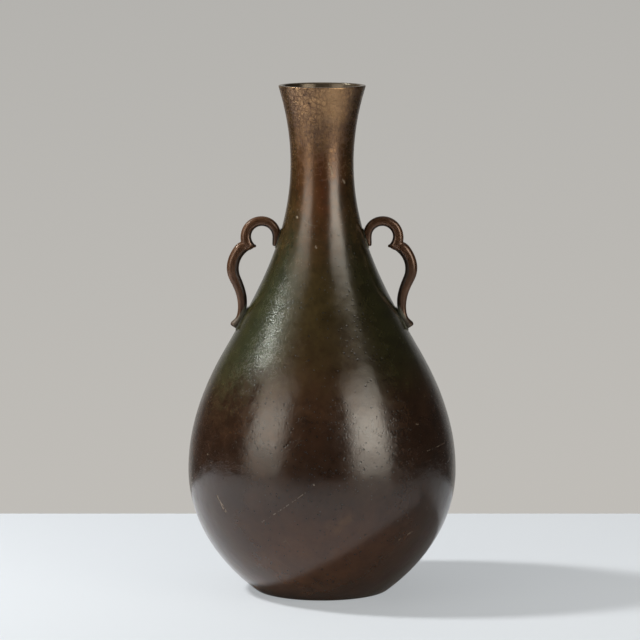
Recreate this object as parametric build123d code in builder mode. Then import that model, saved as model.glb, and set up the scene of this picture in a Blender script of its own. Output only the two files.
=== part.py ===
"""Bronze hu: a pear-shaped bottle vase with a waisted neck and a scroll handle on each side.

Frame: millimetres, +Z up, origin in the middle of the foot on the surface that it stands on.
The handles lie in the XZ plane, the right one on +X.
"""

import os
from math import atan2, cos, radians, sin, sqrt, tan

from build123d import *

# Outer shape of the body
HEIGHT = 300.0
MOUTH_DIAMETER = 51.6
MOUTH_FLARE = 16.6  # degrees that the wall leans out at the lip
WAIST_DIAMETER = 37.2
WAIST_BELOW_MOUTH = 45.5
BELLY_DIAMETER = 158.8
BELLY_HEIGHT = 72.2
FOOT_DIAMETER = 78.0
FOOT_FLARE = 53.2  # degrees that the wall leans out at the foot

# Fullness of the curves between those diameters, each a share from 0 to 1
FOOT_FULLNESS = 0.973
FLANK_START = 0.183
FLANK_END = 0.236
FLANK_MIDDLE = 0.379
BELLY_FULLNESS = 0.33
NECK_FULLNESS = 0.509
MOUTH_FULLNESS = 0.418

# Wall, lip and foot
WALL = 2.6
LIP_ROUNDING = 0.9
LIP_ROUNDING_LIMIT = 0.45  # largest share of the wall that the lip's rounding takes
FOOT_ROUNDING = 0.7
FOOT_RING_WIDTH = 4.9  # ring that the vessel stands on
BASE_RECESS = 3.0  # from the standing surface up to the base plate
PLATE_THICKNESS = 2.5
PLATE_CLEARANCE = 0.1
LEDGE_WIDTH = 3.1
LEDGE_THICKNESS = 2.5
BASE_BEAD = 1.8
BASE_BEAD_HOLLOW = 2.8  # radius of the bead's hollow face
NECK_SEAM_DROP = 24.7  # of the seam under the neck below the handles' upper seats

# Upper scroll of a handle, round a centre beside the neck
UPPER_SEAT_HEIGHT = 210.7
SCROLL_INNER_RADIUS = 6.3
SCROLL_SEAT_THICKNESS = 3.95  # from the wall to the scroll's inner face
SCROLL_SEAT_DEPTH = 1.25  # of the bar that the wall cuts away there
SCROLL_WIDTH = 6.4  # where it meets the limb
SCROLL_TAIL = 5.6  # straight run down the neck
SCROLL_START_ANGLE = 180.0  # where the scroll leaves the neck
SCROLL_END_ANGLE = -34.0  # where the scroll has its full width inside the limb
SCROLL_TIP_ANGLE = -54.0  # where it runs out on the limb's pointed start
SCROLL_TIP_WIDTH = 2.2

# Lower limb of a handle, which springs from under the scroll and runs down to the wall
LIMB_INNER_RADIUS = 13.15
LIMB_OFFSET = 0.45  # of the limb's centre, outwards from the scroll's
LIMB_LIFT = 0.33  # of the limb's inner face past the scroll's
LIMB_WIDTH = 7.15
LIMB_TURN_WIDTH = 6.4
LIMB_WAIST = 5.15
LIMB_FOOT_WIDTH = 7.9
LIMB_WAIST_PLACE = 0.69  # share of the limb's lower curve
LIMB_TURN_ANGLE = -27.6  # where the limb's upper arc passes into its lower curve
LIMB_HOLLOW = 0.353  # reach of the lower curve's two tangents, as a share of its span
HORN_WIDTH = 1.6
HORN_ANGLE = 78.0  # where the limb's pointed start lies on its upper arc
HORN_ROOT_ANGLE = 47.6  # where it has reached its full width
FOOT_END_DROP = 54.5  # of the limb's foot below the scroll's centre
FOOT_END_STANDOFF = 0.3  # of the middle of the bar from the wall

# Section and ends of the handle bar
ARC_STEPS = 5
BAR_DEPTH_RATIO = 1.06  # depth of the bar for each millimetre of width
BAR_ROUNDING = 0.4  # radius of its corners for each millimetre of width
END_ROUNDING = 0.8

# Solder and pins that hold the handles
SOLDER = 0.5
SOLDER_CLEARANCE = 0.05  # between the solder and the wall
SOLDER_MARGIN = 0.8
LOWER_PIN_RISE = 6.8  # of the lower pin above the end of the limb's foot
PIN_DIAMETER = 2.2
PIN_CLEARANCE = 0.05
PIN_GRIP = 1.8  # depth of the pin in the handle
HEAD_DIAMETER = 5.0
HEAD_HEIGHT = 1.2
HEAD_ROUNDING = 0.8

# Sizes that follow from those above
WAIST_HEIGHT = HEIGHT - WAIST_BELOW_MOUTH
PLATE_SEAT_RADIUS = FOOT_DIAMETER / 2 - FOOT_RING_WIDTH
PLATE_RADIUS = PLATE_SEAT_RADIUS - PLATE_CLEARANCE
PLATE_TOP = BASE_RECESS + PLATE_THICKNESS
CORE_OPENING_RADIUS = PLATE_SEAT_RADIUS - LEDGE_WIDTH
FLOOR_TOP = PLATE_TOP + LEDGE_THICKNESS
SCROLL_NECK_WIDTH = SCROLL_SEAT_THICKNESS + SCROLL_SEAT_DEPTH
FOOT_END_HEIGHT = UPPER_SEAT_HEIGHT - FOOT_END_DROP
LOWER_SEAT_HEIGHT = FOOT_END_HEIGHT + LOWER_PIN_RISE
NECK_SEAM_HEIGHT = UPPER_SEAT_HEIGHT - NECK_SEAM_DROP


def meridian(inset):
    """Control points, foot to mouth, of the four curves of the wall's half section moved inwards by inset.

    A straight flank line touches both the belly's curve and the neck's. The reaches beside the belly and
    the waist are chosen so that the curvature runs on evenly through them.
    """
    rise = WAIST_HEIGHT - BELLY_HEIGHT
    flank_low = BELLY_HEIGHT + FLANK_START * rise
    flank_high = WAIST_HEIGHT - FLANK_END * rise
    lean = atan2((BELLY_DIAMETER - WAIST_DIAMETER) / 2, flank_high - flank_low)
    drop = inset * tan(lean / 2)
    foot_way = Vector(sin(radians(FOOT_FLARE)), cos(radians(FOOT_FLARE)))
    mouth_way = Vector(sin(radians(MOUTH_FLARE)), cos(radians(MOUTH_FLARE)))

    foot = Vector(FOOT_DIAMETER / 2, 0) + Vector(-foot_way.Y, foot_way.X) * inset
    belly = Vector(BELLY_DIAMETER / 2 - inset, BELLY_HEIGHT)
    waist = Vector(WAIST_DIAMETER / 2 - inset, WAIST_HEIGHT)
    mouth = Vector(MOUTH_DIAMETER / 2 - inset / mouth_way.Y, HEIGHT)

    belly_corner = Vector(belly.X, flank_low - drop)
    waist_corner = Vector(waist.X, flank_high - drop)
    flank = belly_corner + (waist_corner - belly_corner) * FLANK_MIDDLE
    below_flank = flank + (belly_corner - flank) * BELLY_FULLNESS
    above_flank = flank + (waist_corner - flank) * NECK_FULLNESS
    foot_corner = foot + foot_way * (FOOT_FULLNESS * (belly.X - foot.X) / foot_way.X)
    mouth_corner = mouth - mouth_way * (MOUTH_FULLNESS * (mouth.X - waist.X) / mouth_way.X)

    belly_share = sqrt((belly.X - foot_corner.X) / (belly.X - below_flank.X))
    waist_share = sqrt((mouth_corner.X - waist.X) / (above_flank.X - waist.X))
    under_belly = belly - (belly_corner - belly) * belly_share
    over_waist = waist + (waist - waist_corner) * waist_share
    return [
        (foot, foot_corner, under_belly, belly),
        (belly, belly_corner, below_flank, flank),
        (flank, above_flank, waist_corner, waist),
        (waist, over_waist, mouth_corner, mouth),
    ]


def turned_form(inset):
    """Solid of revolution that fills the body's outer face moved inwards by inset.

    Each curve turns one band. The sections lie at the back, so that the seam is clear of both handles.
    """
    with BuildPart() as form:
        for points in meridian(inset):
            with BuildSketch(Plane.YZ):
                with BuildLine():
                    Bezier(*points)
                    Polyline(points[-1], (0, points[-1].Y), (0, points[0].Y), points[0])
                make_face()
        revolve(axis=Axis.Z)
    return form.part


def wall_seat(height):
    """Plane on the +X side of the wall at a height, with its Z axis straight out of the wall."""
    for points in meridian(0):
        if height <= points[-1].Y:
            break
    curve = Bezier(*points)
    low, high = 0.0, 1.0
    for step in range(50):
        middle = (low + high) / 2
        if (curve @ middle).Y < height:
            low = middle
        else:
            high = middle
    place = curve @ low
    along = curve % low
    return Plane(origin=(place.X, 0, place.Y), x_dir=(0, 1, 0), z_dir=(along.Y, 0, -along.X))


def bar_plane(place, heading):
    """Plane across a handle bar at a place in the XZ plane, with its X axis on the bar's outer side."""
    return Plane(origin=place, x_dir=(-heading.Z, 0, heading.X), z_dir=heading)


outer_form = turned_form(0)
cavity_form = turned_form(WALL)
solder_form = turned_form(-SOLDER)
solder_bed = turned_form(-SOLDER_CLEARANCE)
upper_seat = wall_seat(UPPER_SEAT_HEIGHT)
lower_seat = wall_seat(LOWER_SEAT_HEIGHT)
foot_end_seat = wall_seat(FOOT_END_HEIGHT)


def arc_station(centre, inner_radius, angle, width):
    """Plane across a bar that runs clockwise round a centre, and the bar's width there."""
    out = Vector(cos(radians(angle)), 0, sin(radians(angle)))
    place = centre + out * (inner_radius + width / 2)
    return bar_plane(place, Vector(out.Z, 0, -out.X)), width


def scroll_stations(centre):
    """Stations of the scroll, up from its tail on the neck and over to its end inside the limb."""
    start = arc_station(centre, SCROLL_INNER_RADIUS, SCROLL_START_ANGLE, SCROLL_NECK_WIDTH)
    stations = [(start[0].offset(-SCROLL_TAIL), SCROLL_NECK_WIDTH)]
    for step in range(ARC_STEPS + 1):
        share = step / ARC_STEPS
        angle = SCROLL_START_ANGLE + (SCROLL_END_ANGLE - SCROLL_START_ANGLE) * share
        width = SCROLL_NECK_WIDTH + (SCROLL_WIDTH - SCROLL_NECK_WIDTH) * share
        stations.append(arc_station(centre, SCROLL_INNER_RADIUS, angle, width))
    stations.append(arc_station(centre, SCROLL_INNER_RADIUS, SCROLL_TIP_ANGLE, SCROLL_TIP_WIDTH))
    return stations


def limb_stations(centre):
    """Stations of the limb, from its pointed start over its upper arc and down to its foot along the wall."""
    half_root = (HORN_ANGLE + HORN_ROOT_ANGLE) / 2
    shape = [(HORN_ANGLE, HORN_WIDTH), (half_root, (HORN_WIDTH + LIMB_WIDTH) / 2)]
    for step in range(ARC_STEPS + 1):
        angle = HORN_ROOT_ANGLE + (LIMB_TURN_ANGLE - HORN_ROOT_ANGLE) * step / ARC_STEPS
        taper = max(angle / LIMB_TURN_ANGLE, 0)
        shape.append((angle, LIMB_WIDTH + (LIMB_TURN_WIDTH - LIMB_WIDTH) * taper))
    stations = [arc_station(centre, LIMB_INNER_RADIUS, angle, width) for angle, width in shape]
    turn = stations[-1][0]
    out_of_wall = foot_end_seat.z_dir
    down_wall = Vector(out_of_wall.Z, 0, -out_of_wall.X)
    foot_end = foot_end_seat.origin + out_of_wall * FOOT_END_STANDOFF
    reach = (foot_end - turn.origin).length * LIMB_HOLLOW
    leave_turn = turn.origin + turn.z_dir * reach
    meet_wall = foot_end - down_wall * reach
    lower_curve = Bezier(turn.origin, leave_turn, meet_wall, foot_end)
    for share, width in (
        (LIMB_WAIST_PLACE / 2, (LIMB_TURN_WIDTH + LIMB_WAIST) / 2),
        (LIMB_WAIST_PLACE, LIMB_WAIST),
        ((1 + LIMB_WAIST_PLACE) / 2, (LIMB_WAIST + LIMB_FOOT_WIDTH) / 2),
        (1, LIMB_FOOT_WIDTH),
    ):
        stations.append((bar_plane(lower_curve @ share, lower_curve % share), width))
    return stations


# The scroll's inner face and the limb's just cross under the scroll
scroll_centre = upper_seat.origin + Vector(SCROLL_SEAT_THICKNESS + SCROLL_INNER_RADIUS, 0, 0)
limb_drop = SCROLL_INNER_RADIUS + LIMB_INNER_RADIUS - LIMB_LIFT
limb_centre = scroll_centre + Vector(LIMB_OFFSET, 0, -limb_drop)
scroll_line = scroll_stations(scroll_centre)
limb_line = limb_stations(limb_centre)
tail_plane = scroll_line[0][0]
foot_plane = limb_line[-1][0]


def handle_bar(margin):
    """Whole bar of the +X handle, with its ends still in the wall, and with margin added all round."""
    with BuildPart() as bar:
        for stations, end in ((scroll_line, tail_plane), (limb_line, foot_plane)):
            for plane, width in stations:
                with BuildSketch(plane):
                    depth = width * BAR_DEPTH_RATIO
                    RectangleRounded(width + 2 * margin, depth + 2 * margin, width * BAR_ROUNDING + margin)
            loft()
            end_face = bar.faces().sort_by_distance(end.origin)[0]
            if margin:
                extrude(end_face, amount=margin)
            else:
                fillet(end_face.edges(), END_ROUNDING)
    return bar.part


def pin_hole(seat, radius):
    """Cylinder along a pin, from inside the vessel to the pin's end in the handle."""
    depth = 2 * WALL + SOLDER + PIN_GRIP + PIN_CLEARANCE
    with BuildPart() as hole:
        with BuildSketch(seat.offset(-2 * WALL)):
            Circle(radius)
        extrude(amount=depth)
    return hole.part


seats = {"upper": upper_seat, "lower": lower_seat}
holes = [pin_hole(seat, PIN_DIAMETER / 2 + PIN_CLEARANCE) for seat in seats.values()]
right_pieces = {}

# Whole body, open under the foot, with a ledge for the base plate and holes for the pins
with BuildPart() as cavity:
    add(cavity_form)
    split(bisect_by=Plane.XY.offset(FLOOR_TOP))

with BuildPart() as whole_body:
    add(outer_form)
    add(cavity.part, mode=Mode.SUBTRACT)
    with BuildSketch():
        Circle(CORE_OPENING_RADIUS)
    extrude(amount=FLOOR_TOP, mode=Mode.SUBTRACT)
    with BuildSketch():
        Circle(PLATE_SEAT_RADIUS)
    extrude(amount=PLATE_TOP, mode=Mode.SUBTRACT)
    fillet(whole_body.edges().group_by(Axis.Z)[-1], min(LIP_ROUNDING, WALL * LIP_ROUNDING_LIMIT))
    fillet(whole_body.edges().group_by(Axis.Z)[0], FOOT_ROUNDING)
    for hole in holes:
        add(hole, mode=Mode.SUBTRACT)
        mirror(hole, about=Plane.YZ, mode=Mode.SUBTRACT)

# Castings of the body: a bowl, a shoulder and a neck, butted and brazed at two level seams
belly_seam = Plane.XY.offset(BELLY_HEIGHT)
neck_seam = Plane.XY.offset(NECK_SEAM_HEIGHT)

with BuildPart() as vessel_bowl:
    add(whole_body.part)
    split(bisect_by=belly_seam, keep=Keep.BOTTOM)

with BuildPart() as vessel_shoulder:
    add(whole_body.part)
    split(bisect_by=belly_seam)
    split(bisect_by=neck_seam, keep=Keep.BOTTOM)

with BuildPart() as vessel_neck:
    add(whole_body.part)
    split(bisect_by=neck_seam)

# Base plate: a disc let up into the foot against the ledge
with BuildPart() as base_plate:
    with BuildSketch(Plane.XY.offset(BASE_RECESS)):
        Circle(PLATE_RADIUS)
    extrude(amount=PLATE_THICKNESS)

# Base solder: a hollow bead in the corner between the plate and the foot
with BuildPart() as base_solder:
    with BuildSketch(Plane.YZ):
        with BuildLine():
            corner = Vector(PLATE_SEAT_RADIUS, BASE_RECESS)
            plate_edge = corner - Vector(BASE_BEAD, 0)
            foot_edge = corner - Vector(0, BASE_BEAD)
            Polyline(plate_edge, corner, foot_edge)
            RadiusArc(foot_edge, plate_edge, BASE_BEAD_HOLLOW)
        make_face()
    revolve(axis=Axis.Z)

# Handles: cut to the wall with room for the solder, and bored for the pins
with BuildPart() as right_handle:
    add(handle_bar(0))
    add(solder_form, mode=Mode.SUBTRACT)
    for hole in holes:
        add(hole, mode=Mode.SUBTRACT)
right_pieces["handle"] = right_handle.part

# Solder: a thin layer under each foot of a handle, a little wider than the foot
with BuildPart() as solder:
    add(handle_bar(SOLDER_MARGIN))
    add(solder_form, clean=False, mode=Mode.INTERSECT)
    add(solder_bed, mode=Mode.SUBTRACT)
    for hole in holes:
        add(hole, mode=Mode.SUBTRACT)
for place, layer in zip(("lower", "upper"), solder.solids().sort_by(Axis.Z)):
    right_pieces[f"{place}_solder"] = layer

# Pins: a shank through the wall into the handle, and a domed head against the inside of the wall
for place, seat in seats.items():
    with BuildPart() as pin:
        with BuildSketch(seat.offset(-WALL - HEAD_HEIGHT)):
            Circle(HEAD_DIAMETER / 2)
        extrude(amount=HEAD_HEIGHT + WALL / 2)
        fillet(pin.edges().sort_by_distance(seat.origin)[-1], HEAD_ROUNDING)
        add(cavity_form, mode=Mode.INTERSECT)
        with BuildSketch(seat.offset(-WALL - HEAD_HEIGHT / 2)):
            Circle(PIN_DIAMETER / 2)
        extrude(amount=HEAD_HEIGHT / 2 + WALL + SOLDER + PIN_GRIP)
    right_pieces[f"{place}_pin"] = pin.part

os.makedirs("parts", exist_ok=True)
vessel_bowl.part.label = "vessel_bowl"
export_step(vessel_bowl.part, "parts/vessel_bowl.step")
vessel_shoulder.part.label = "vessel_shoulder"
export_step(vessel_shoulder.part, "parts/vessel_shoulder.step")
vessel_neck.part.label = "vessel_neck"
export_step(vessel_neck.part, "parts/vessel_neck.step")
base_plate.part.label = "base_plate"
export_step(base_plate.part, "parts/base_plate.step")
base_solder.part.label = "base_solder"
export_step(base_solder.part, "parts/base_solder.step")
for name, right_piece in right_pieces.items():
    with BuildPart() as left_piece:
        mirror(right_piece, about=Plane.YZ)
    left_piece.part.label = f"left_{name}"
    export_step(left_piece.part, f"parts/left_{name}.step")
    right_piece.label = f"right_{name}"
    export_step(right_piece, f"parts/right_{name}.step")
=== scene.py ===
"""Bronze hu vessel: the looks of a pear-shaped bottle vase with two scroll handles.

Metres, +Z up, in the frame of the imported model. The photographed side faces -Y.
"""

from math import atan2, cos, pi, radians, sin, sqrt, tan

import bmesh
import bpy
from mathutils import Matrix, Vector


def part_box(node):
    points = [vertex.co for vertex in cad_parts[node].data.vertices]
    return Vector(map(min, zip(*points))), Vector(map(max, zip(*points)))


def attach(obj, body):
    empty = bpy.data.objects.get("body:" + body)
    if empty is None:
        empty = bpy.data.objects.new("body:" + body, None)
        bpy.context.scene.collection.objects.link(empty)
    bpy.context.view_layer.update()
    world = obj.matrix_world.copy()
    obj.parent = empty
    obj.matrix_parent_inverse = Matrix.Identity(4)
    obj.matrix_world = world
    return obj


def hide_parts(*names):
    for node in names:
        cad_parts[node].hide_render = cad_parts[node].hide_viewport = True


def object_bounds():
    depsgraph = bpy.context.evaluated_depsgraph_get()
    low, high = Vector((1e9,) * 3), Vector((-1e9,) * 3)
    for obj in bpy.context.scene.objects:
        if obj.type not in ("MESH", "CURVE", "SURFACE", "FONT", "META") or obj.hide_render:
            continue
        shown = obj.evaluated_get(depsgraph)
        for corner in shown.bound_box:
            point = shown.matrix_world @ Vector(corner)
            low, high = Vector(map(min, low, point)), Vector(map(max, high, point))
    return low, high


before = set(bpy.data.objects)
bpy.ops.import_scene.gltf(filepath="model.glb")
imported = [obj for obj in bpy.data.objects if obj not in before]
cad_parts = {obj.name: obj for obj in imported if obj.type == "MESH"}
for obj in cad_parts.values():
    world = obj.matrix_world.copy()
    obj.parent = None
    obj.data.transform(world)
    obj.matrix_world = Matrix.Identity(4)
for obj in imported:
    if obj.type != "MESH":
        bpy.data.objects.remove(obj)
cad_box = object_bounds()
scene = bpy.context.scene
MM = 0.001

# Vessel body
# Three bronze castings, a bowl, a shoulder and a neck, brazed edge to edge with the seams filed away.
# One turned wall stands for them here. It is brown with an olive shoulder, and rubbed bare at the mouth.
HEIGHT = cad_box[1].z
MOUTH_RADIUS = 25.8 * MM
MOUTH_FLARE = radians(16.6)
WAIST_RADIUS = 18.6 * MM
WAIST_HEIGHT = HEIGHT - 45.5 * MM
BELLY_RADIUS = cad_box[1].x
BELLY_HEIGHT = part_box("vessel_bowl")[1].z
FOOT_RADIUS = 39.0 * MM
FOOT_FLARE = radians(53.2)
FOOT_FULLNESS = 0.973
FLANK_START = 0.183
FLANK_END = 0.236
FLANK_MIDDLE = 0.379
BELLY_FULLNESS = 0.33
NECK_FULLNESS = 0.509
MOUTH_FULLNESS = 0.418
WALL = 2.6 * MM
FLOOR_TOP = 8.0 * MM
LEDGE_RADIUS = 31.0 * MM
PLATE_SEAT_RADIUS = 34.1 * MM
PLATE_TOP = 5.5 * MM
RIM_ROUNDING = 0.85 * MM
ROUNDING_ANGLE = radians(35)
LIP_DEPTH = 1.0 * MM
LIP_FACING = 0.9
INSIDE_FACING = -0.3
HALVINGS = 40
CURVE_RESOLUTION = 64
WALL_AROUND = 208
WALL_STEP = 1.5 * MM
BAND_WELD = 0.02 * MM
FACE_WELD = 0.01 * MM
SPINDLE_RADIUS = 10.0 * MM
CAST_WAVE = 0.3 * MM
CAST_WAVE_SCALE = 24.0
STILL_HEIGHT = 2.0 * MM
FULL_WAVE_HEIGHT = 14.0 * MM


def meridian(inset):
    """Control points, foot to mouth, of the four curves of the wall's half section moved inwards."""
    rise = WAIST_HEIGHT - BELLY_HEIGHT
    flank_low = BELLY_HEIGHT + FLANK_START * rise
    flank_high = WAIST_HEIGHT - FLANK_END * rise
    lean = atan2(BELLY_RADIUS - WAIST_RADIUS, flank_high - flank_low)
    drop = inset * tan(lean / 2)
    foot_way = Vector((sin(FOOT_FLARE), cos(FOOT_FLARE)))
    mouth_way = Vector((sin(MOUTH_FLARE), cos(MOUTH_FLARE)))
    foot = Vector((FOOT_RADIUS - foot_way.y * inset, foot_way.x * inset))
    belly = Vector((BELLY_RADIUS - inset, BELLY_HEIGHT))
    waist = Vector((WAIST_RADIUS - inset, WAIST_HEIGHT))
    mouth = Vector((MOUTH_RADIUS - inset / mouth_way.y, HEIGHT))
    belly_corner = Vector((belly.x, flank_low - drop))
    waist_corner = Vector((waist.x, flank_high - drop))
    flank = belly_corner.lerp(waist_corner, FLANK_MIDDLE)
    below_flank = flank.lerp(belly_corner, BELLY_FULLNESS)
    above_flank = flank.lerp(waist_corner, NECK_FULLNESS)
    foot_corner = foot + foot_way * (FOOT_FULLNESS * (belly.x - foot.x) / foot_way.x)
    mouth_corner = mouth - mouth_way * (MOUTH_FULLNESS * (mouth.x - waist.x) / mouth_way.x)
    belly_share = sqrt((belly.x - foot_corner.x) / (belly.x - below_flank.x))
    waist_share = sqrt((mouth_corner.x - waist.x) / (above_flank.x - waist.x))
    under_belly = belly - (belly_corner - belly) * belly_share
    over_waist = waist + (waist - waist_corner) * waist_share
    return [
        (foot, foot_corner, under_belly, belly),
        (belly, belly_corner, below_flank, flank),
        (flank, above_flank, waist_corner, waist),
        (waist, over_waist, mouth_corner, mouth),
    ]


def above_height(curve, height):
    """The part of a rising curve above a height."""
    low, high = 0.0, 1.0
    for halving in range(HALVINGS):
        share = (low + high) / 2
        rows = [list(curve)]
        while len(rows[-1]) > 1:
            rows.append([a.lerp(b, share) for a, b in zip(rows[-1], rows[-1][1:])])
        if rows[-1][0].y < height:
            low = share
        else:
            high = share
    return tuple(row[-1] for row in reversed(rows))


def straight(start, end):
    """A straight run in the form of a curve."""
    return (start, start.lerp(end, 1 / 3), start.lerp(end, 2 / 3), end)


def add_node(tree, kind, inputs=None, **settings):
    """A new node. Inputs maps a socket's name or number to a value or to another node's output."""
    node = tree.nodes.new(kind)
    for name, value in settings.items():
        setattr(node, name, value)
    for socket, value in (inputs or {}).items():
        if isinstance(value, bpy.types.NodeSocket):
            tree.links.new(value, node.inputs[socket])
        else:
            node.inputs[socket].default_value = value
    return node


def math(tree, operation, first, second=0.0, third=0.0):
    """The result of a Math node."""
    values = {0: first, 1: second, 2: third}
    return add_node(tree, "ShaderNodeMath", values, operation=operation).outputs[0]


def new_group(name, kind, inputs, outputs):
    """A new node group with named sockets, its inputs' sockets inside it and its outputs'."""
    tree = bpy.data.node_groups.new(name, kind)
    for label, (socket_kind, value) in inputs.items():
        socket = tree.interface.new_socket(label, in_out="INPUT", socket_type=socket_kind)
        if value is not None:
            socket.default_value = value
    for label, socket_kind in outputs.items():
        tree.interface.new_socket(label, in_out="OUTPUT", socket_type=socket_kind)
    inside = tree.nodes.new("NodeGroupInput").outputs
    outside = tree.nodes.new("NodeGroupOutput").inputs
    return tree, inside, outside


# A band that one curve of the section turns round the axis. A point's X is a radius and its Y a height.
CURVE_POINTS = ("Start", "Start Handle", "End Handle", "End")
band_sizes = {name: ("NodeSocketVector", None) for name in CURVE_POINTS}
band_sizes["Around"] = ("NodeSocketInt", WALL_AROUND)
band_sizes["Step"] = ("NodeSocketFloat", WALL_STEP)
band_tree, sizes, result = new_group(
    "turned_band", "GeometryNodeTree", band_sizes, {"Mesh": "NodeSocketGeometry"}
)
spindle = add_node(
    band_tree,
    "GeometryNodeCurvePrimitiveCircle",
    {"Resolution": sizes["Around"], "Radius": SPINDLE_RADIUS},
)
upright = add_node(
    band_tree, "GeometryNodeSetCurveNormal", {"Curve": spindle.outputs["Curve"]}, mode="Z_UP"
)
curve = add_node(
    band_tree,
    "GeometryNodeCurvePrimitiveBezierSegment",
    {"Resolution": CURVE_RESOLUTION, **{name: sizes[name] for name in CURVE_POINTS}},
    mode="POSITION",
)
even = add_node(
    band_tree,
    "GeometryNodeResampleCurve",
    {"Curve": curve.outputs["Curve"], "Length": sizes["Step"]},
    mode="LENGTH",
)
placed = add_node(
    band_tree,
    "GeometryNodeTransform",
    {"Geometry": even.outputs["Curve"], "Translation": (-SPINDLE_RADIUS, 0, 0), "Scale": (1, -1, 1)},
)
turned = add_node(
    band_tree,
    "GeometryNodeCurveToMesh",
    {"Curve": upright.outputs["Curve"], "Profile Curve": placed.outputs["Geometry"]},
)
band_tree.links.new(turned.outputs["Mesh"], result["Mesh"])

outer_curves = meridian(0)
inner_curves = meridian(WALL)
inner_curves[0] = above_height(inner_curves[0], FLOOR_TOP)
ring_corners = [
    inner_curves[0][0],
    Vector((LEDGE_RADIUS, FLOOR_TOP)),
    Vector((LEDGE_RADIUS, PLATE_TOP)),
    Vector((PLATE_SEAT_RADIUS, PLATE_TOP)),
    Vector((PLATE_SEAT_RADIUS, 0)),
    outer_curves[0][0],
]
section = outer_curves + inner_curves + [straight(outer_curves[-1][-1], inner_curves[-1][-1])]
section += [straight(a, b) for a, b in zip(ring_corners, ring_corners[1:])]

wall_sizes = {
    "Geometry": ("NodeSocketGeometry", None),
    "Around": ("NodeSocketInt", WALL_AROUND),
    "Step": ("NodeSocketFloat", WALL_STEP),
    "Wave Depth": ("NodeSocketFloat", CAST_WAVE),
    "Wave Scale": ("NodeSocketFloat", CAST_WAVE_SCALE),
    "Finish": ("NodeSocketMaterial", None),
}
wall_tree, sizes, result = new_group(
    "turned_vessel", "GeometryNodeTree", wall_sizes, {"Geometry": "NodeSocketGeometry"}
)
joined = add_node(wall_tree, "GeometryNodeJoinGeometry")
for points in section:
    band_values = {name: (point.x, point.y, 0) for name, point in zip(CURVE_POINTS, points)}
    band_values["Around"] = sizes["Around"]
    band_values["Step"] = sizes["Step"]
    band = add_node(wall_tree, "GeometryNodeGroup", band_values, node_tree=band_tree)
    wall_tree.links.new(band.outputs["Mesh"], joined.inputs["Geometry"])
welded = add_node(
    wall_tree,
    "GeometryNodeMergeByDistance",
    {"Geometry": joined.outputs["Geometry"], "Distance": BAND_WELD},
)
# The casting's waves fade out towards the foot, whose ring stays flat
wave = add_node(wall_tree, "ShaderNodeTexNoise", {"Scale": sizes["Wave Scale"], "Detail": 1.0})
depth = math(wall_tree, "SUBTRACT", wave.outputs["Fac"], 0.5)
depth = math(wall_tree, "MULTIPLY", depth, sizes["Wave Depth"])
spot = add_node(wall_tree, "GeometryNodeInputPosition").outputs["Position"]
heights = add_node(wall_tree, "ShaderNodeSeparateXYZ", {0: spot})
above_foot = add_node(
    wall_tree,
    "ShaderNodeMapRange",
    {"Value": heights.outputs["Z"], "From Min": STILL_HEIGHT, "From Max": FULL_WAVE_HEIGHT},
)
depth = math(wall_tree, "MULTIPLY", depth, above_foot.outputs["Result"])
facing = add_node(wall_tree, "GeometryNodeInputNormal").outputs["Normal"]
offset = add_node(
    wall_tree, "ShaderNodeVectorMath", {0: facing, "Scale": depth}, operation="SCALE"
)
cast = add_node(
    wall_tree,
    "GeometryNodeSetPosition",
    {"Geometry": welded.outputs["Geometry"], "Offset": offset.outputs["Vector"]},
)
smooth = add_node(wall_tree, "GeometryNodeSetShadeSmooth", {"Geometry": cast.outputs["Geometry"]})
real = add_node(wall_tree, "GeometryNodeRealizeInstances", {"Geometry": smooth.outputs["Geometry"]})
finished = add_node(
    wall_tree,
    "GeometryNodeSetMaterial",
    {"Geometry": real.outputs["Geometry"], "Material": sizes["Finish"]},
)
wall_tree.links.new(finished.outputs["Geometry"], result["Geometry"])

# Shared effects of the bronze: cloudy patina, small pits, hair lines and single marks on the front
mottle_tree, given, result = new_group(
    "patina_mottle",
    "ShaderNodeTree",
    {
        "Position": ("NodeSocketVector", None),
        "Scale": ("NodeSocketFloat", 60.0),
        "Low": ("NodeSocketFloat", 0.35),
        "High": ("NodeSocketFloat", 0.65),
    },
    {"Cloud": "NodeSocketFloat"},
)
cloud = add_node(
    mottle_tree,
    "ShaderNodeTexNoise",
    {"Vector": given["Position"], "Scale": given["Scale"], "Detail": 6.0, "Roughness": 0.62},
)
spread = add_node(
    mottle_tree,
    "ShaderNodeMapRange",
    {"Value": cloud.outputs["Fac"], "From Min": given["Low"], "From Max": given["High"]},
)
mottle_tree.links.new(spread.outputs["Result"], result["Cloud"])

pit_tree, given, result = new_group(
    "casting_pits",
    "ShaderNodeTree",
    {
        "Position": ("NodeSocketVector", None),
        "Scale": ("NodeSocketFloat", 300.0),
        "Share": ("NodeSocketFloat", 0.2),
        "Size": ("NodeSocketFloat", 0.3),
    },
    {"Pits": "NodeSocketFloat"},
)
cells = add_node(
    pit_tree, "ShaderNodeTexVoronoi", {"Vector": given["Position"], "Scale": given["Scale"]}
)
lot = add_node(pit_tree, "ShaderNodeSeparateColor", {"Color": cells.outputs["Color"]})
chosen = math(pit_tree, "LESS_THAN", lot.outputs["Red"], given["Share"])
own_size = math(pit_tree, "MULTIPLY", lot.outputs["Green"], given["Size"])
inside = add_node(
    pit_tree,
    "ShaderNodeMapRange",
    {
        "Value": cells.outputs["Distance"],
        "From Min": 0.0,
        "From Max": own_size,
        "To Min": 1.0,
        "To Max": 0.0,
    },
    interpolation_type="SMOOTHSTEP",
)
pits = math(pit_tree, "MULTIPLY", inside.outputs["Result"], chosen)
pit_tree.links.new(pits, result["Pits"])

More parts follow.
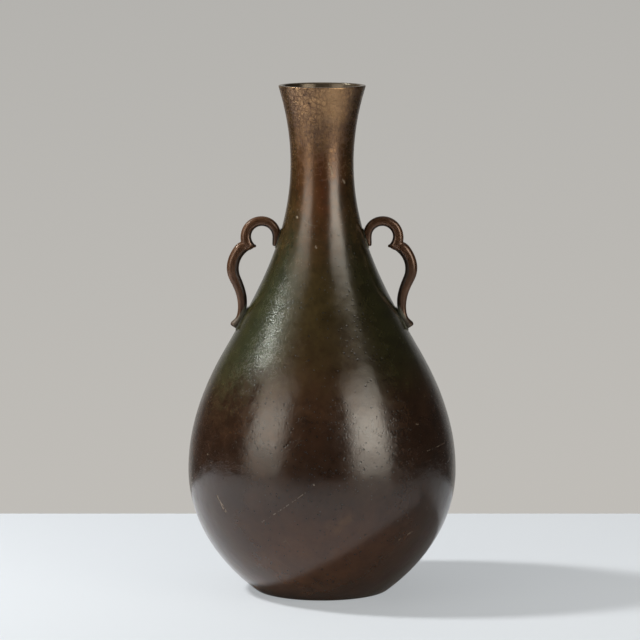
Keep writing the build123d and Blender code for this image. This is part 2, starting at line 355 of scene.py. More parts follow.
hair_tree, given, result = new_group(
    "hair_scratches",
    "ShaderNodeTree",
    {
        "Position": ("NodeSocketVector", None),
        "Scale": ("NodeSocketFloat", 40.0),
        "Width": ("NodeSocketFloat", 0.01),
        "Share": ("NodeSocketFloat", 0.4),
    },
    {"Lines": "NodeSocketFloat"},
)
lines = add_node(
    hair_tree,
    "ShaderNodeTexVoronoi",
    {"Vector": given["Position"], "Scale": given["Scale"]},
    feature="DISTANCE_TO_EDGE",
)
thin = add_node(
    hair_tree,
    "ShaderNodeMapRange",
    {
        "Value": lines.outputs["Distance"],
        "From Min": 0.0,
        "From Max": given["Width"],
        "To Min": 1.0,
        "To Max": 0.0,
    },
)
breaks = add_node(
    hair_tree, "ShaderNodeTexNoise", {"Vector": given["Position"], "Scale": 55.0, "Detail": 2.0}
)
kept = math(hair_tree, "LESS_THAN", breaks.outputs["Fac"], given["Share"])
short = math(hair_tree, "MULTIPLY", thin.outputs["Result"], kept)
hair_tree.links.new(short, result["Lines"])

mark_tree, given, result = new_group(
    "scratch_mark",
    "ShaderNodeTree",
    {
        "Position": ("NodeSocketVector", None),
        "Start": ("NodeSocketVector", None),
        "End": ("NodeSocketVector", None),
        "Width": ("NodeSocketFloat", 0.5 * MM),
    },
    {"Mark": "NodeSocketFloat"},
)


def vector_math(tree, operation, first, second=(0, 0, 0), third=(0, 0, 0)):
    """A Vector Math node."""
    return add_node(tree, "ShaderNodeVectorMath", {0: first, 1: second, 2: third}, operation=operation)


flat = vector_math(mark_tree, "MULTIPLY", given["Position"], (1, 0, 1)).outputs["Vector"]
run = vector_math(mark_tree, "SUBTRACT", given["End"], given["Start"]).outputs["Vector"]
gone = vector_math(mark_tree, "SUBTRACT", flat, given["Start"]).outputs["Vector"]
reach = vector_math(mark_tree, "DOT_PRODUCT", gone, run).outputs["Value"]
whole = vector_math(mark_tree, "DOT_PRODUCT", run, run).outputs["Value"]
share = add_node(mark_tree, "ShaderNodeMath", {0: reach, 1: whole}, operation="DIVIDE", use_clamp=True)
nearest = vector_math(mark_tree, "MULTIPLY_ADD", run, share.outputs[0], given["Start"]).outputs["Vector"]
away = vector_math(mark_tree, "DISTANCE", flat, nearest).outputs["Value"]
close = add_node(
    mark_tree,
    "ShaderNodeMapRange",
    {"Value": away, "From Min": 0.0, "From Max": given["Width"], "To Min": 1.0, "To Max": 0.0},
    interpolation_type="SMOOTHSTEP",
)
depths = add_node(mark_tree, "ShaderNodeSeparateXYZ", {0: given["Position"]})
front = math(mark_tree, "LESS_THAN", depths.outputs["Y"], 0.0)
mark = math(mark_tree, "MULTIPLY", close.outputs["Result"], front)
mark_tree.links.new(mark, result["Mark"])


def new_material(name):
    """A material with a Principled shader, its tree, the shader and the piece's own coordinates."""
    material = bpy.data.materials.new(name)
    material.use_nodes = True
    tree = material.node_tree
    shader = tree.nodes["Principled BSDF"]
    place = add_node(tree, "ShaderNodeTexCoord").outputs["Object"]
    return material, tree, shader, place


def use_group(tree, group, inputs):
    """A shader group's first output, with its own values."""
    return add_node(tree, "ShaderNodeGroup", inputs, node_tree=group).outputs[0]


def blend_colour(tree, share, under, over, way="MIX"):
    """The colour under with the colour over it, by a share."""
    values = {0: share, 6: under, 7: over}
    return add_node(tree, "ShaderNodeMix", values, data_type="RGBA", blend_type=way).outputs[2]


def colour_ramp(tree, share, stops):
    """A colour that runs through stops, each a share and a colour."""
    ramp = add_node(tree, "ShaderNodeValToRGB", {"Fac": share})
    elements = ramp.color_ramp.elements
    elements[0].position, elements[1].position = stops[0][0], stops[-1][0]
    elements[0].color, elements[1].color = (*stops[0][1], 1), (*stops[-1][1], 1)
    for share_at, colour in stops[1:-1]:
        elements.new(share_at).color = (*colour, 1)
    return ramp.outputs["Color"]


def smooth_step(tree, value, low, high):
    """A smooth rise from 0 at a low value to 1 at a high one, or a fall where low is the larger."""
    values = {"Value": value, "From Min": low, "From Max": high}
    step = add_node(tree, "ShaderNodeMapRange", values, interpolation_type="SMOOTHSTEP")
    return step.outputs["Result"]


def value_ramp(tree, share, stops):
    """A value that runs through stops, each a share and a value."""
    return colour_ramp(tree, share, [(share_at, (value, value, value)) for share_at, value in stops])


def clouds(tree, place, scale, low=0.3, high=0.7):
    """Cloudy patches of the patina."""
    return use_group(tree, mottle_tree, {"Position": place, "Scale": scale, "Low": low, "High": high})


def dots(tree, place, scale, share, size):
    """Small round spots in a share of a pattern's cells."""
    return use_group(tree, pit_tree, {"Position": place, "Scale": scale, "Share": share, "Size": size})


def hair_lines(tree, place, scale, width, share):
    """A broken net of fine lines."""
    return use_group(tree, hair_tree, {"Position": place, "Scale": scale, "Width": width, "Share": share})


def front_mark(tree, place, start, end, width):
    """A mark on the front between two points, each across and up, in millimetres."""
    values = {"Position": place, "Width": width * MM}
    values["Start"] = (start[0] * MM, 0, start[1] * MM)
    values["End"] = (end[0] * MM, 0, end[1] * MM)
    return use_group(tree, mark_tree, values)


def noise(tree, place, scale, detail, roughness=0.5):
    """The cloud of a Noise texture."""
    values = {"Vector": place, "Scale": scale, "Detail": detail, "Roughness": roughness}
    return add_node(tree, "ShaderNodeTexNoise", values).outputs["Fac"]


def times(tree, first, *others):
    """The product of several values."""
    for other in others:
        first = math(tree, "MULTIPLY", first, other)
    return first


def plus_shares(tree, value, *shares):
    """A value plus several shares, each with the amount that it adds where it is full."""
    for share, amount in shares:
        value = math(tree, "MULTIPLY_ADD", share, amount, value)
    return value


def finish_surface(tree, shader, colour, rough, height, strength, depth):
    """Gives a shader its colour, its roughness and a bump of a strength and a depth."""
    bump = add_node(tree, "ShaderNodeBump", {"Height": height, "Strength": strength, "Distance": depth})
    tree.links.new(colour, shader.inputs["Base Color"])
    tree.links.new(rough, shader.inputs["Roughness"])
    tree.links.new(bump.outputs["Normal"], shader.inputs["Normal"])


# Colours, gloss and effects by share of the vessel's height
PATINA_BY_HEIGHT = [
    (0.00, (0.062, 0.0250, 0.0105)),
    (0.15, (0.050, 0.0200, 0.0085)),
    (0.25, (0.030, 0.0140, 0.0068)),
    (0.33, (0.029, 0.0130, 0.0062)),
    (0.41, (0.040, 0.0190, 0.0085)),
    (0.48, (0.037, 0.0185, 0.0070)),
    (0.57, (0.036, 0.0225, 0.0072)),
    (0.66, (0.040, 0.0230, 0.0072)),
    (0.74, (0.054, 0.0225, 0.0066)),
    (0.82, (0.074, 0.0290, 0.0085)),
    (0.87, (0.115, 0.0530, 0.0190)),
    (0.92, (0.232, 0.1290, 0.0575)),
    (1.00, (0.305, 0.1780, 0.0860)),
]
OLIVE = (0.0285, 0.0265, 0.0078, 1)
OLIVE_BY_HEIGHT = [(0.00, 0.0), (0.38, 0.0), (0.50, 1.0), (0.66, 1.0), (0.84, 0.0), (1.00, 0.0)]
ROUGH_BY_HEIGHT = [
    (0.00, 0.09),
    (0.12, 0.10),
    (0.22, 0.13),
    (0.38, 0.13),
    (0.46, 0.14),
    (0.55, 0.13),
    (0.62, 0.13),
    (0.70, 0.17),
    (0.82, 0.17),
    (0.90, 0.19),
    (1.00, 0.21),
]
BARE_BY_HEIGHT = [(0.00, 0.08), (0.74, 0.08), (0.82, 0.18), (0.88, 0.42), (0.94, 0.60), (1.00, 0.65)]
GRAIN_BY_HEIGHT = [(0.00, 0.0), (0.38, 0.0), (0.46, 1.0), (0.62, 1.0), (0.72, 0.0), (1.00, 0.0)]
BELLY_BY_HEIGHT = [(0.24, 0.0), (0.28, 1.0), (0.36, 1.0), (0.44, 0.0)]
MOUTH_BROWN = (0.095, 0.042, 0.018, 1)
SIDE_SHADE_BROWN = (0.050, 0.028, 0.008, 1)
PIT_COLOUR = (0.004, 0.003, 0.002, 1)
SPECK_COLOUR = (0.30, 0.26, 0.18, 1)
SCRATCH_COLOUR = (0.10, 0.075, 0.05, 1)
CRACK_COLOUR = (0.050, 0.019, 0.010, 1)
VERDIGRIS_AND_GLINT_TINT = (0.044, 0.072, 0.046, 1)
PAINTED_REFLECTION_COLOUR = (0.430, 0.255, 0.125, 1)
MARK_COLOUR = (0.34, 0.27, 0.19, 1)
STAIN_COLOUR = (0.115, 0.055, 0.022, 1)
STREAK_COLOUR = (0.130, 0.034, 0.012, 1)

body_finish, tree, shader, place = new_material("brown_patina")
axes = add_node(tree, "ShaderNodeSeparateXYZ", {0: place})
flat = vector_math(tree, "MULTIPLY", place, (1, 1, 0)).outputs["Vector"]
radius = vector_math(tree, "LENGTH", flat).outputs["Value"]
rightwards = math(tree, "DIVIDE", axes.outputs["X"], radius)
sideways = smooth_step(tree, math(tree, "ABSOLUTE", rightwards), low=0.25, high=0.80)

# The height wanders, so that no zone ends in a level line
wander = clouds(tree, place, scale=24.0, low=0.25, high=0.75)
crumbs = clouds(tree, place, scale=330.0, low=0.25, high=0.75)
share_up = plus_shares(tree, -0.085, (wander, 0.09), (crumbs, 0.08), (axes.outputs["Z"], 1 / HEIGHT))

# Brown with an olive shoulder, worn unevenly round the mouth, with painted shade darkening the left and
# right sides, most at the neck and shoulder
patina = colour_ramp(tree, share_up, PATINA_BY_HEIGHT)
olive = value_ramp(tree, share_up, OLIVE_BY_HEIGHT)
olive = times(tree, olive, plus_shares(tree, 0.2, (sideways, 0.8)))
patina = blend_colour(tree, olive, patina, OLIVE)
cloud = clouds(tree, place, scale=95.0)
bloom = clouds(tree, place, scale=210.0, low=0.35, high=0.65)
mouth = smooth_step(tree, share_up, low=0.82, high=0.92)
worn = times(tree, bloom, mouth, 0.6)
patina = blend_colour(tree, worn, patina, MOUTH_BROWN)
# Painted shade: the left and right sides of the neck and shoulder turn to a darker brown
left_side_shade = smooth_step(tree, rightwards, low=-0.74, high=-0.84)
right_side_shade = smooth_step(tree, rightwards, low=0.60, high=0.86)
edge = plus_shares(tree, 0.0, (left_side_shade, 0.70), (right_side_shade, 0.80))
edge = times(tree, edge, smooth_step(tree, share_up, low=0.60, high=0.76))
patina = blend_colour(tree, edge, patina, SIDE_SHADE_BROWN)
# Patchy mottle, with painted shade that darkens the left and right sides
mottle_and_side_shade = plus_shares(tree, 0.60, (cloud, 0.55), (crumbs, 0.35), (sideways, -0.24))
patina = blend_colour(tree, 1.0, patina, mottle_and_side_shade, "MULTIPLY")

# Pits in clusters, more of them at the mouth and on the belly, and the crackle of the same places
cluster = clouds(tree, place, scale=42.0, low=0.45, high=0.70)
belly = value_ramp(tree, share_up, BELLY_BY_HEIGHT)
pit_share = plus_shares(tree, 0.10, (cluster, 0.45), (mouth, 0.30), (belly, 0.28))
pits = dots(tree, place, scale=640.0, share=pit_share, size=0.66)
patina = blend_colour(tree, pits, patina, PIT_COLOUR)
grime = times(tree, dots(tree, place, scale=400.0, share=0.42, size=0.62), mouth, 0.70)
patina = blend_colour(tree, grime, patina, CRACK_COLOUR)
specks = dots(tree, place, scale=150.0, share=0.04, size=0.13)
patina = blend_colour(tree, specks, patina, SPECK_COLOUR)
hairs = times(tree, hair_lines(tree, place, scale=34.0, width=0.005, share=0.38), 0.5)
patina = blend_colour(tree, hairs, patina, SCRATCH_COLOUR)
crackle = hair_lines(tree, place, scale=370.0, width=0.12, share=0.68)
belly_cracks = times(tree, crackle, belly, bloom)
mouth_cracks = times(tree, crackle, plus_shares(tree, 0.02, (mouth, 0.80)))
patina = blend_colour(tree, mouth_cracks, patina, CRACK_COLOUR)

# Scratches and nicks of the front: start and end across and up, width, in millimetres, and paleness
FRONT_MARKS = [
    ((-34.6, 52.3), (-9.7, 71.1), 0.45, 0.34),
    ((-61.0, 64.5), (-56.2, 55.2), 0.70, 0.42),
    ((-58.4, 60.5), (-55.4, 55.6), 0.55, 0.42),
    ((60.6, 90.4), (71.5, 92.2), 0.50, 0.42),
    ((44.7, 39.5), (52.3, 43.6), 0.60, 0.42),
    ((3.6, 255.8), (5.2, 252.6), 1.00, 0.90),
    ((5.6, 251.4), (6.2, 248.0), 0.80, 0.85),
    ((12.0, 246.3), (13.2, 243.6), 0.70, 0.80),
    ((-3.8, 207.6), (-3.3, 206.8), 0.70, 0.80),
    ((-14.6, 224.0), (-14.4, 223.4), 0.70, 0.80),
    ((-4.8, 75.9), (-4.3, 75.5), 0.65, 0.60),
    ((54.8, 106.6), (55.5, 106.3), 0.75, 0.60),
    ((-64.8, 83.6), (-64.3, 83.2), 0.65, 0.60),
]
marks = 0.0
for start, end, width, paleness in FRONT_MARKS:
    mark = times(tree, front_mark(tree, place, start, end, width), paleness)
    marks = math(tree, "MAXIMUM", marks, mark)
gaps = noise(tree, place, scale=640.0, detail=1.0)
marks = times(tree, marks, smooth_step(tree, gaps, low=0.42, high=0.60))
patina = blend_colour(tree, marks, patina, MARK_COLOUR)

# A stain low on the belly, a pale tan patch under the lip that is a painted reflection, and a reddish
# streak on the neck
stain = front_mark(tree, place, start=(7, 50), end=(14, 55), width=8)
patina = blend_colour(tree, times(tree, stain, bloom, 0.5), patina, STAIN_COLOUR)
# Painted reflection: a pale tan patch just right of the middle, under the lip
painted_reflection = front_mark(tree, place, start=(7, 300), end=(6, 286), width=11)
painted_reflection = times(tree, painted_reflection, plus_shares(tree, 0.2, (bloom, 0.5)))
patina = blend_colour(tree, painted_reflection, patina, PAINTED_REFLECTION_COLOUR)
streak = front_mark(tree, place, start=(-1, 258), end=(1, 228), width=6)
patina = blend_colour(tree, times(tree, streak, crumbs, 0.6), patina, STREAK_COLOUR)

# The left of the shoulder, where the key lamp's highlight falls, is bitten by a fine green bloom that
# breaks its gloss into grains. Its pale green is partly a painted highlight tint, strongest on the glossy
# grains.
grain = noise(tree, place, scale=980.0, detail=2.0, roughness=0.6)
leftwards = smooth_step(tree, rightwards, low=-0.20, high=-0.55)
leftwards = times(tree, leftwards, smooth_step(tree, rightwards, low=-0.96, high=-0.80))
bitten_glint_zone = times(tree, value_ramp(tree, share_up, GRAIN_BY_HEIGHT), leftwards)
dull = times(tree, smooth_step(tree, grain, low=0.54, high=0.46), bitten_glint_zone)
verdigris_and_glint_tint = plus_shares(tree, 0.0, (dull, -0.14), (bitten_glint_zone, 0.18))
patina = blend_colour(tree, verdigris_and_glint_tint, patina, VERDIGRIS_AND_GLINT_TINT)

rough = plus_shares(
    tree,
    value_ramp(tree, share_up, ROUGH_BY_HEIGHT),
    (cloud, 0.05),
    (bloom, 0.05),
    (crumbs, 0.04),
    (bitten_glint_zone, -0.05),
    (dull, 0.12),
    (pits, 0.12),
    (mouth_cracks, 0.30),
    (marks, 0.60),
)
hammer = noise(tree, place, scale=110.0, detail=1.0)
height = plus_shares(
    tree,
    times(tree, grain, plus_shares(tree, 0.3, (bitten_glint_zone, 1.15))),
    (hammer, 2.0),
    (pits, -0.7),
    (mouth_cracks, -0.35),
    (belly_cracks, -0.35),
    (marks, -0.9),
)
bare = value_ramp(tree, share_up, BARE_BY_HEIGHT)
bare = times(tree, bare, plus_shares(tree, 1.0, (worn, -0.6)), plus_shares(tree, 1.0, (edge, -0.3)))
shader.inputs["Specular IOR Level"].default_value = 0.5
tree.links.new(bare, shader.inputs["Metallic"])
finish_surface(tree, shader, patina, rough, height, strength=0.5, depth=0.18 * MM)

# The inside of the wall is coloured darker than the outside, as painted shade inside the neck; the top of
# the lip takes the same finish
INSIDE_SHADE_DARK = (0.060, 0.042, 0.024)
INSIDE_SHADE_PALE = (0.130, 0.098, 0.064)
inside_shade_finish, tree, shader, place = new_material("painted_shade_inside")
cloud = clouds(tree, place, scale=70.0)
colour = colour_ramp(tree, cloud, [(0.0, INSIDE_SHADE_DARK), (1.0, INSIDE_SHADE_PALE)])
rough = plus_shares(tree, 0.18, (cloud, 0.10))
shader.inputs["Metallic"].default_value = 0.5
finish_surface(tree, shader, colour, rough, cloud, strength=0.4, depth=0.4 * MM)


def set_inputs(modifier, values):
    """Sets a Geometry Nodes modifier's inputs by the names of its tree's sockets."""
    for item in modifier.node_group.interface.items_tree:
        if item.in_out == "INPUT" and item.name in values:
            modifier[item.identifier] = values[item.name]


def settle(piece):
    """Turns a piece and its modifiers into a plain mesh."""
    graph = bpy.context.evaluated_depsgraph_get()
    mesh = bpy.data.meshes.new_from_object(piece.evaluated_get(graph))
    piece.modifiers.clear()
    piece.data = mesh
    mesh.name = piece.name


def face_outwards(piece):
    """Welds a piece's closed mesh and points its faces outwards."""
    shell = bmesh.new()
    shell.from_mesh(piece.data)
    bmesh.ops.remove_doubles(shell, verts=shell.verts, dist=FACE_WELD)
    bmesh.ops.recalc_face_normals(shell, faces=shell.faces)
    for face in shell.faces:
        face.smooth = True
    shell.to_mesh(piece.data)
    shell.free()


body = bpy.data.objects.new("vessel_wall", bpy.data.meshes.new("vessel_wall"))
scene.collection.objects.link(body)
turning = body.modifiers.new("turning", "NODES")
turning.node_group = wall_tree
set_inputs(
    turning,
    {
        "Around": WALL_AROUND,
        "Step": WALL_STEP,
        "Wave Depth": CAST_WAVE,
        "Wave Scale": CAST_WAVE_SCALE,
        "Finish": body_finish,
    },
)
settle(body)
face_outwards(body)
body.data.materials.clear()
body.data.materials.append(body_finish)
body.data.materials.append(inside_shade_finish)
# Faces turned towards the axis, and the lip's top, take the painted shade of the inside
for face in body.data.polygons:
    from_axis = Vector((face.center.x, face.center.y, 0)).normalized()
    lip_top = face.normal.z > LIP_FACING and face.center.z > HEIGHT - LIP_DEPTH
    inside = face.normal.dot(from_axis) < INSIDE_FACING
    face.material_index = 1 if inside or lip_top else 0
rounding = body.modifiers.new("rounding", "BEVEL")
rounding.width = RIM_ROUNDING
rounding.segments = 3
rounding.angle_limit = ROUNDING_ANGLE
rounding.harden_normals = True
settle(body)
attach(body, "root")
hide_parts("vessel_bowl", "vessel_shoulder", "vessel_neck")

# Base plate and its solder
# A bronze disc let up into the foot against a ledge, which closes the opening that the core left.
# Soft solder is run round its edge from below to seal it.
PLATE_DARK = (0.030, 0.021, 0.014)
PLATE_PALE = (0.085, 0.058, 0.036)
SOLDER_DARK = (0.060, 0.058, 0.042)
SOLDER_PALE = (0.200, 0.200, 0.160)

plate_finish, tree, shader, place = new_material("plate_bronze")
cloud = clouds(tree, place, scale=80.0)
colour = colour_ramp(tree, cloud, [(0.0, PLATE_DARK), (1.0, PLATE_PALE)])
pits = dots(tree, place, scale=300.0, share=0.3, size=0.6)
colour = blend_colour(tree, pits, colour, PIT_COLOUR)
rough = plus_shares(tree, 0.45, (cloud, 0.15))
height = plus_shares(tree, cloud, (pits, -1.0))
shader.inputs["Metallic"].default_value = 0.8
finish_surface(tree, shader, colour, rough, height, strength=0.4, depth=0.4 * MM)

solder_finish, tree, shader, place = new_material("dull_solder")
cloud = clouds(tree, place, scale=320.0)
colour = colour_ramp(tree, cloud, [(0.0, SOLDER_DARK), (1.0, SOLDER_PALE)])
rough = plus_shares(tree, 0.40, (cloud, 0.15))
shader.inputs["Metallic"].default_value = 0.7
finish_surface(tree, shader, colour, rough, cloud, strength=0.35, depth=0.2 * MM)


def finish_node(name, finish):
    """Gives a CAD node its finish."""
    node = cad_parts[name]
    if not node.material_slots:
        node.data.materials.append(finish)
    for slot in node.material_slots:
        slot.material = finish


finish_node("base_plate", plate_finish)
finish_node("base_solder", solder_finish)

# Handles
# Each is a small bronze casting of a scroll and a limb, with a softly squared bar, filed and rubbed.
# Its two feet are pinned and soldered to the neck and the shoulder.
HANDLE_GRAIN = 0.3 * MM
FILING_STRENGTH = 0.5
FILING_STROKES = 6
LOOP_CENTRE = (35.4 * MM, 210.9 * MM)
CUSP_HEIGHT = 203 * MM
INNER_SHADE_FACING = 0.22
FOOT_WALL_RADIUS = 48.6 * MM
FOOT_WALL_HEIGHT = 159.3 * MM
FOOT_WALL_LEAN = 0.58
SMEAR_DEPTH = 3.6 * MM
SMEAR_TOP = 13 * MM
SMEAR_FULL = 9 * MM
TIP_HEIGHT = 6 * MM
TIP_FULL = 1.8 * MM
HANDLE_DARK = (0.062, 0.027, 0.012)
HANDLE_PALE = (0.112, 0.054, 0.028)
INNER_SHADE_DARK = (0.012, 0.006, 0.003)
INNER_SHADE_PALE = (0.034, 0.016, 0.008)
SMEAR_COLOUR = (0.150, 0.150, 0.115, 1)
TIP_SHADE_COLOUR = (0.030, 0.017, 0.010, 1)


def above_foot_wall(tree, place):
    """The height above the lowest point where the lower foot meets the wall."""
    axes = add_node(tree, "ShaderNodeSeparateXYZ", {0: place})
    return math(tree, "SUBTRACT", axes.outputs["Z"], FOOT_WALL_HEIGHT)


def solder_smear(tree, place, cloud):
    """The share of solder run out over the lower foot, next to the wall."""
    flat = vector_math(tree, "MULTIPLY", place, (1, 1, 0)).outputs["Vector"]
    radius = vector_math(tree, "LENGTH", flat).outputs["Value"]
    climb = above_foot_wall(tree, place)
    from_wall = math(tree, "SUBTRACT", radius, FOOT_WALL_RADIUS)
    from_wall = plus_shares(tree, from_wall, (climb, FOOT_WALL_LEAN))
    smear = smooth_step(tree, from_wall, low=SMEAR_DEPTH, high=0.8 * SMEAR_DEPTH)
    low_down = smooth_step(tree, climb, low=SMEAR_TOP, high=SMEAR_FULL)
    return times(tree, smear, low_down, plus_shares(tree, 0.6, (cloud, 0.4)))


handle_finish, tree, shader, place = new_material("rubbed_bronze")
cloud = clouds(tree, place, scale=140.0)
colour = colour_ramp(tree, cloud, [(0.0, HANDLE_DARK), (1.0, HANDLE_PALE)])
pits = dots(tree, place, scale=520.0, share=0.2, size=0.5)
colour = blend_colour(tree, pits, colour, PIT_COLOUR)
smear = solder_smear(tree, place, cloud)
colour = blend_colour(tree, smear, colour, SMEAR_COLOUR)
# Painted shade: the lower foot's tip is darkened, and made rougher
dull_shaded_tip = smooth_step(tree, above_foot_wall(tree, place), low=TIP_HEIGHT, high=TIP_FULL)
colour = blend_colour(tree, times(tree, dull_shaded_tip, 0.75), colour, TIP_SHADE_COLOUR)
rough = plus_shares(tree, 0.20, (cloud, 0.08), (smear, 0.2), (dull_shaded_tip, 0.25))
grain = noise(tree, place, scale=700.0, detail=3.0)
height = plus_shares(tree, grain, (pits, -0.6))
shader.inputs["Metallic"].default_value = 0.25
shader.inputs["Specular IOR Level"].default_value = 0.35
finish_surface(tree, shader, colour, rough, height, strength=0.25, depth=0.3 * MM)

# Painted shade: the handles' faces turned towards the wall, or into the scroll, are a near-black brown,
# with the solder smear over them at the lower foot
inner_shade_and_smear_finish, tree, shader, place = new_material("inner_shade_and_smear")
cloud = clouds(tree, place, scale=200.0)
colour = colour_ramp(tree, cloud, [(0.0, INNER_SHADE_DARK), (1.0, INNER_SHADE_PALE)])
colour = blend_colour(tree, solder_smear(tree, place, cloud), colour, SMEAR_COLOUR)
rough = plus_shares(tree, 0.40, (cloud, 0.15))
shader.inputs["Specular IOR Level"].default_value = 0.3
finish_surface(tree, shader, colour, rough, cloud, strength=0.3, depth=0.2 * MM)

for side, outwards in (("left", -1), ("right", 1)):
    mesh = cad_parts[f"{side}_handle"].data.copy()
    handle = bpy.data.objects.new(f"{side}_scroll_handle", mesh)
    scene.collection.objects.link(handle)
    handle.data.materials.clear()
    handle.data.materials.append(handle_finish)
    face_outwards(handle)
    casting = handle.modifiers.new("casting", "REMESH")
    casting.mode = "VOXEL"
    casting.voxel_size = HANDLE_GRAIN
    casting.use_smooth_shade = True
    filing = handle.modifiers.new("filing", "SMOOTH")
    filing.factor = FILING_STRENGTH
    filing.iterations = FILING_STROKES
    settle(handle)
    handle.data.materials.append(inner_shade_and_smear_finish)
    loop_centre = Vector((outwards * LOOP_CENTRE[0], 0, LOOP_CENTRE[1]))
    # Faces turned towards the wall, or towards the scroll's centre above the cusp, take the painted shade
    for face in handle.data.polygons:
        inwards = Vector((-outwards, 0, 0))
        if face.center.z > CUSP_HEIGHT:
            inwards = (loop_centre - face.center).normalized()
        if face.normal.dot(inwards) > INNER_SHADE_FACING:
            face.material_index = 1
    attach(handle, "root")
    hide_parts(f"{side}_handle")

# Pins and solder of the handles
# Bronze pins go through the wall into the handles' feet and are peened over inside.
# A thin, dull layer of solder lies under each foot.
PIN_DARK = (0.090, 0.058, 0.034)
PIN_PALE = (0.240, 0.160, 0.090)
pin_finish, tree, shader, place = new_material("peened_pin")
cloud = clouds(tree, place, scale=400.0)
colour = colour_ramp(tree, cloud, [(0.0, PIN_DARK), (1.0, PIN_PALE)])
rough = plus_shares(tree, 0.35, (cloud, 0.15))
shader.inputs["Metallic"].default_value = 0.9
finish_surface(tree, shader, colour, rough, cloud, strength=0.4, depth=0.2 * MM)

for side in ("left", "right"):
    for level in ("upper", "lower"):
        finish_node(f"{side}_{level}_pin", pin_finish)
        finish_node(f"{side}_{level}_solder", solder_finish)

# Table
# A plain white board that the vessel stands on, with the vessel nearer to its back edge. The camera sees it
# paler than it is lit, the more so on the right, and the bronze reflects it as it is lit.
TABLE_BACK = 0.251
TABLE_FRONT = -1.07
TABLE_HALF_WIDTH = 1.0
TABLE_THICKNESS = 0.03
TABLE_EDGE = 0.002
TABLE_WHITE = (0.78, 0.815, 0.85, 1)
TABLE_PALE = (0.620, 0.650, 0.675, 1)
TABLE_PALE_RIGHT = (0.725, 0.755, 0.780, 1)
TABLE_RIGHT_FROM = -0.04
TABLE_RIGHT_TO = 0.22
TABLE_LIFT = 0.54

board = bmesh.new()
bmesh.ops.create_cube(board, size=1.0)
for corner in board.verts:
    corner.co.x *= 2 * TABLE_HALF_WIDTH
    corner.co.y = TABLE_BACK if corner.co.y > 0 else TABLE_FRONT
    corner.co.z = 0.0 if corner.co.z > 0 else -TABLE_THICKNESS
table = bpy.data.objects.new("table", bpy.data.meshes.new("table"))
board.to_mesh(table.data)
board.free()
scene.collection.objects.link(table)
edge = table.modifiers.new("edge", "BEVEL")
edge.width = TABLE_EDGE
edge.segments = 2
table_finish, tree, shader, place = new_material("white_board")
shader.inputs["Base Color"].default_value = TABLE_WHITE
shader.inputs["Roughness"].default_value = 0.7
shader.inputs["Specular IOR Level"].default_value = 0.2
across = add_node(tree, "ShaderNodeSeparateXYZ", {0: place}).outputs["X"]
far_right = smooth_step(tree, across, low=TABLE_RIGHT_FROM, high=TABLE_RIGHT_TO)
pale_colour = blend_colour(tree, far_right, TABLE_PALE, TABLE_PALE_RIGHT)
pale = add_node(tree, "ShaderNodeEmission", {"Color": pale_colour})
seen = add_node(tree, "ShaderNodeLightPath").outputs["Is Camera Ray"]
lift = times(tree, seen, TABLE_LIFT)
board_look = add_node(
    tree, "ShaderNodeMixShader", {0: lift, 1: shader.outputs["BSDF"], 2: pale.outputs["Emission"]}
)
tree.links.new(board_look.outputs[0], tree.nodes["Material Output"].inputs["Surface"])
table.data.materials.append(table_finish)

# Studio light
# A small lamp from the left throws the shadow, and a weaker one in its place gives the highlight. A faint
# panel hangs overhead. Two soft boxes of three lamps each, brighter in the middle, stand in front to the
# sides. All three show as a pale strip in the gloss, and only the middle lamp lights matt surfaces.
LIGHT_AIM = Vector((0, 0, 0.12))
WHITE = (1.0, 1.0, 1.0)
GLINT_COLOUR = (0.94, 1.0, 0.93)
SOFT_BOX_COLOUR = (1.0, 0.955, 0.84)
KEY_PLACE = {"azimuth": -91.5, "elevation": 46.5, "distance": 1.0}
TOP_PLACE = {"azimuth": 180, "elevation": 84, "distance": 1.9}
SOFT_BOX_ELEVATION = 19
# Side, azimuth and brightness
SOFT_BOXES = [("left", -50.5, 0.60), ("right", 43.0, 1.05)]
# Name, distance, width, height and glow, and if it lights matt surfaces
SOFT_BOX_LAMPS = [
    ("rim", 0.94, 0.56, 0.86, 1.9, False),
    ("middle", 0.92, 0.51, 0.66, 2.0, True),
    ("core", 0.90, 0.38, 0.30, 3.6, False),
]


def hang_lamp(
    name, azimuth, elevation, distance, width, tall, power, colour, lights_matt=True, in_gloss=True
):
    """A lamp aimed at the vessel. Azimuth is from the camera's side, to the right."""
    lamp = bpy.data.lights.new(name, "AREA")
    lamp.shape = "RECTANGLE"
    lamp.size = width
    lamp.size_y = tall
    lamp.energy = power
    lamp.color = colour
    turn, lift = radians(azimuth), radians(elevation)
    way = Vector((sin(turn) * cos(lift), -cos(turn) * cos(lift), sin(lift)))
    holder = bpy.data.objects.new(name, lamp)
    holder.location = LIGHT_AIM + way * distance
    holder.rotation_euler = way.to_track_quat("Z", "Y").to_euler()
    holder.visible_camera = False
    holder.visible_diffuse = lights_matt
    holder.visible_glossy = in_gloss
    scene.collection.objects.link(holder)


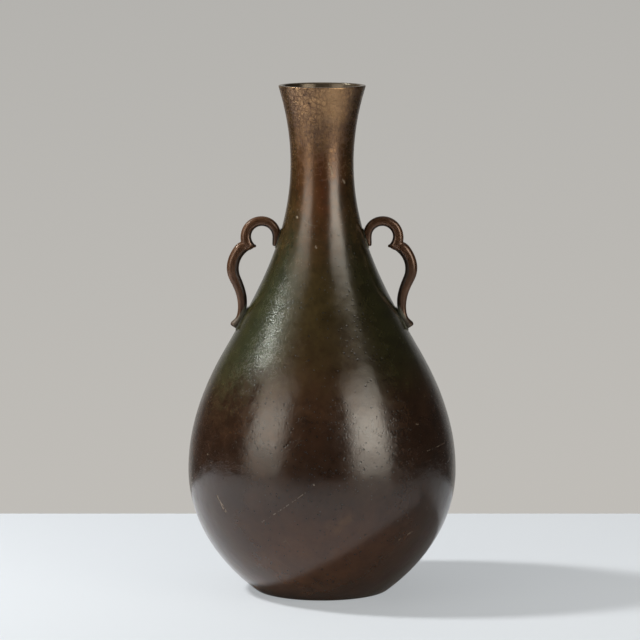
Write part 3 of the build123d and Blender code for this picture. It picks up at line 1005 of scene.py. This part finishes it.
hang_lamp("key_lamp", **KEY_PLACE, width=0.12, tall=0.12, power=13.2, colour=WHITE, in_gloss=False)
hang_lamp(
    "key_lamp_glint",
    **KEY_PLACE,
    width=0.16,
    tall=0.16,
    power=9.4,
    colour=GLINT_COLOUR,
    lights_matt=False,
)
hang_lamp("top_panel", **TOP_PLACE, width=2.4, tall=2.2, power=6.0, colour=WHITE)
for side, azimuth, brightness in SOFT_BOXES:
    for lamp_name, distance, width, tall, glow, lights_matt in SOFT_BOX_LAMPS:
        hang_lamp(
            f"{side}_soft_box_{lamp_name}",
            azimuth,
            SOFT_BOX_ELEVATION,
            distance,
            width,
            tall,
            brightness * glow * pi * width * tall,
            SOFT_BOX_COLOUR,
            lights_matt,
        )

# Studio room
# A warm grey wall behind the table, a little lighter lower down, and the dark room in front of it. The
# bronze reflects the wall only from a zone straight behind the vessel.
WALL_HIGH = (0.458, 0.448, 0.426, 1)
WALL_LOW = (0.523, 0.505, 0.474, 1)
ROOM_DARK = (0.040, 0.038, 0.036, 1)
# Parts of a ray's direction, upwards for the wall's shades and backwards for the zone
WALL_HIGH_ABOVE = -0.04
WALL_LOW_BELOW = -0.17
WALL_ZONE_EDGE = 0.72

world = bpy.data.worlds.new("studio")
scene.world = world
world.use_nodes = True
tree = world.node_tree
way = add_node(tree, "ShaderNodeTexCoord").outputs["Generated"]
axes = add_node(tree, "ShaderNodeSeparateXYZ", {0: way})
lower = add_node(
    tree,
    "ShaderNodeMapRange",
    {"Value": axes.outputs["Z"], "From Min": WALL_HIGH_ABOVE, "From Max": WALL_LOW_BELOW},
)
wall_colour = blend_colour(tree, lower.outputs["Result"], WALL_HIGH, WALL_LOW)
behind = smooth_step(tree, axes.outputs["Y"], low=WALL_ZONE_EDGE, high=1.0)
room = blend_colour(tree, behind, ROOM_DARK, wall_colour)
seen = add_node(tree, "ShaderNodeLightPath").outputs["Is Camera Ray"]
room = blend_colour(tree, seen, room, wall_colour)
tree.links.new(room, tree.nodes["Background"].inputs["Color"])

# Camera
# A long lens far back, a little above the mouth and tilted down, as the photograph's ellipses show.
camera = bpy.data.objects.new("camera", bpy.data.cameras.new("camera"))
camera.data.lens = 208.45
camera.data.sensor_width = 36.0
camera.location = (-0.0012, -2.1739, 0.43674)
camera.rotation_euler = (radians(90 - 7.2277), 0, 0)
scene.collection.objects.link(camera)
scene.camera = camera
scene.view_settings.view_transform = "Standard"
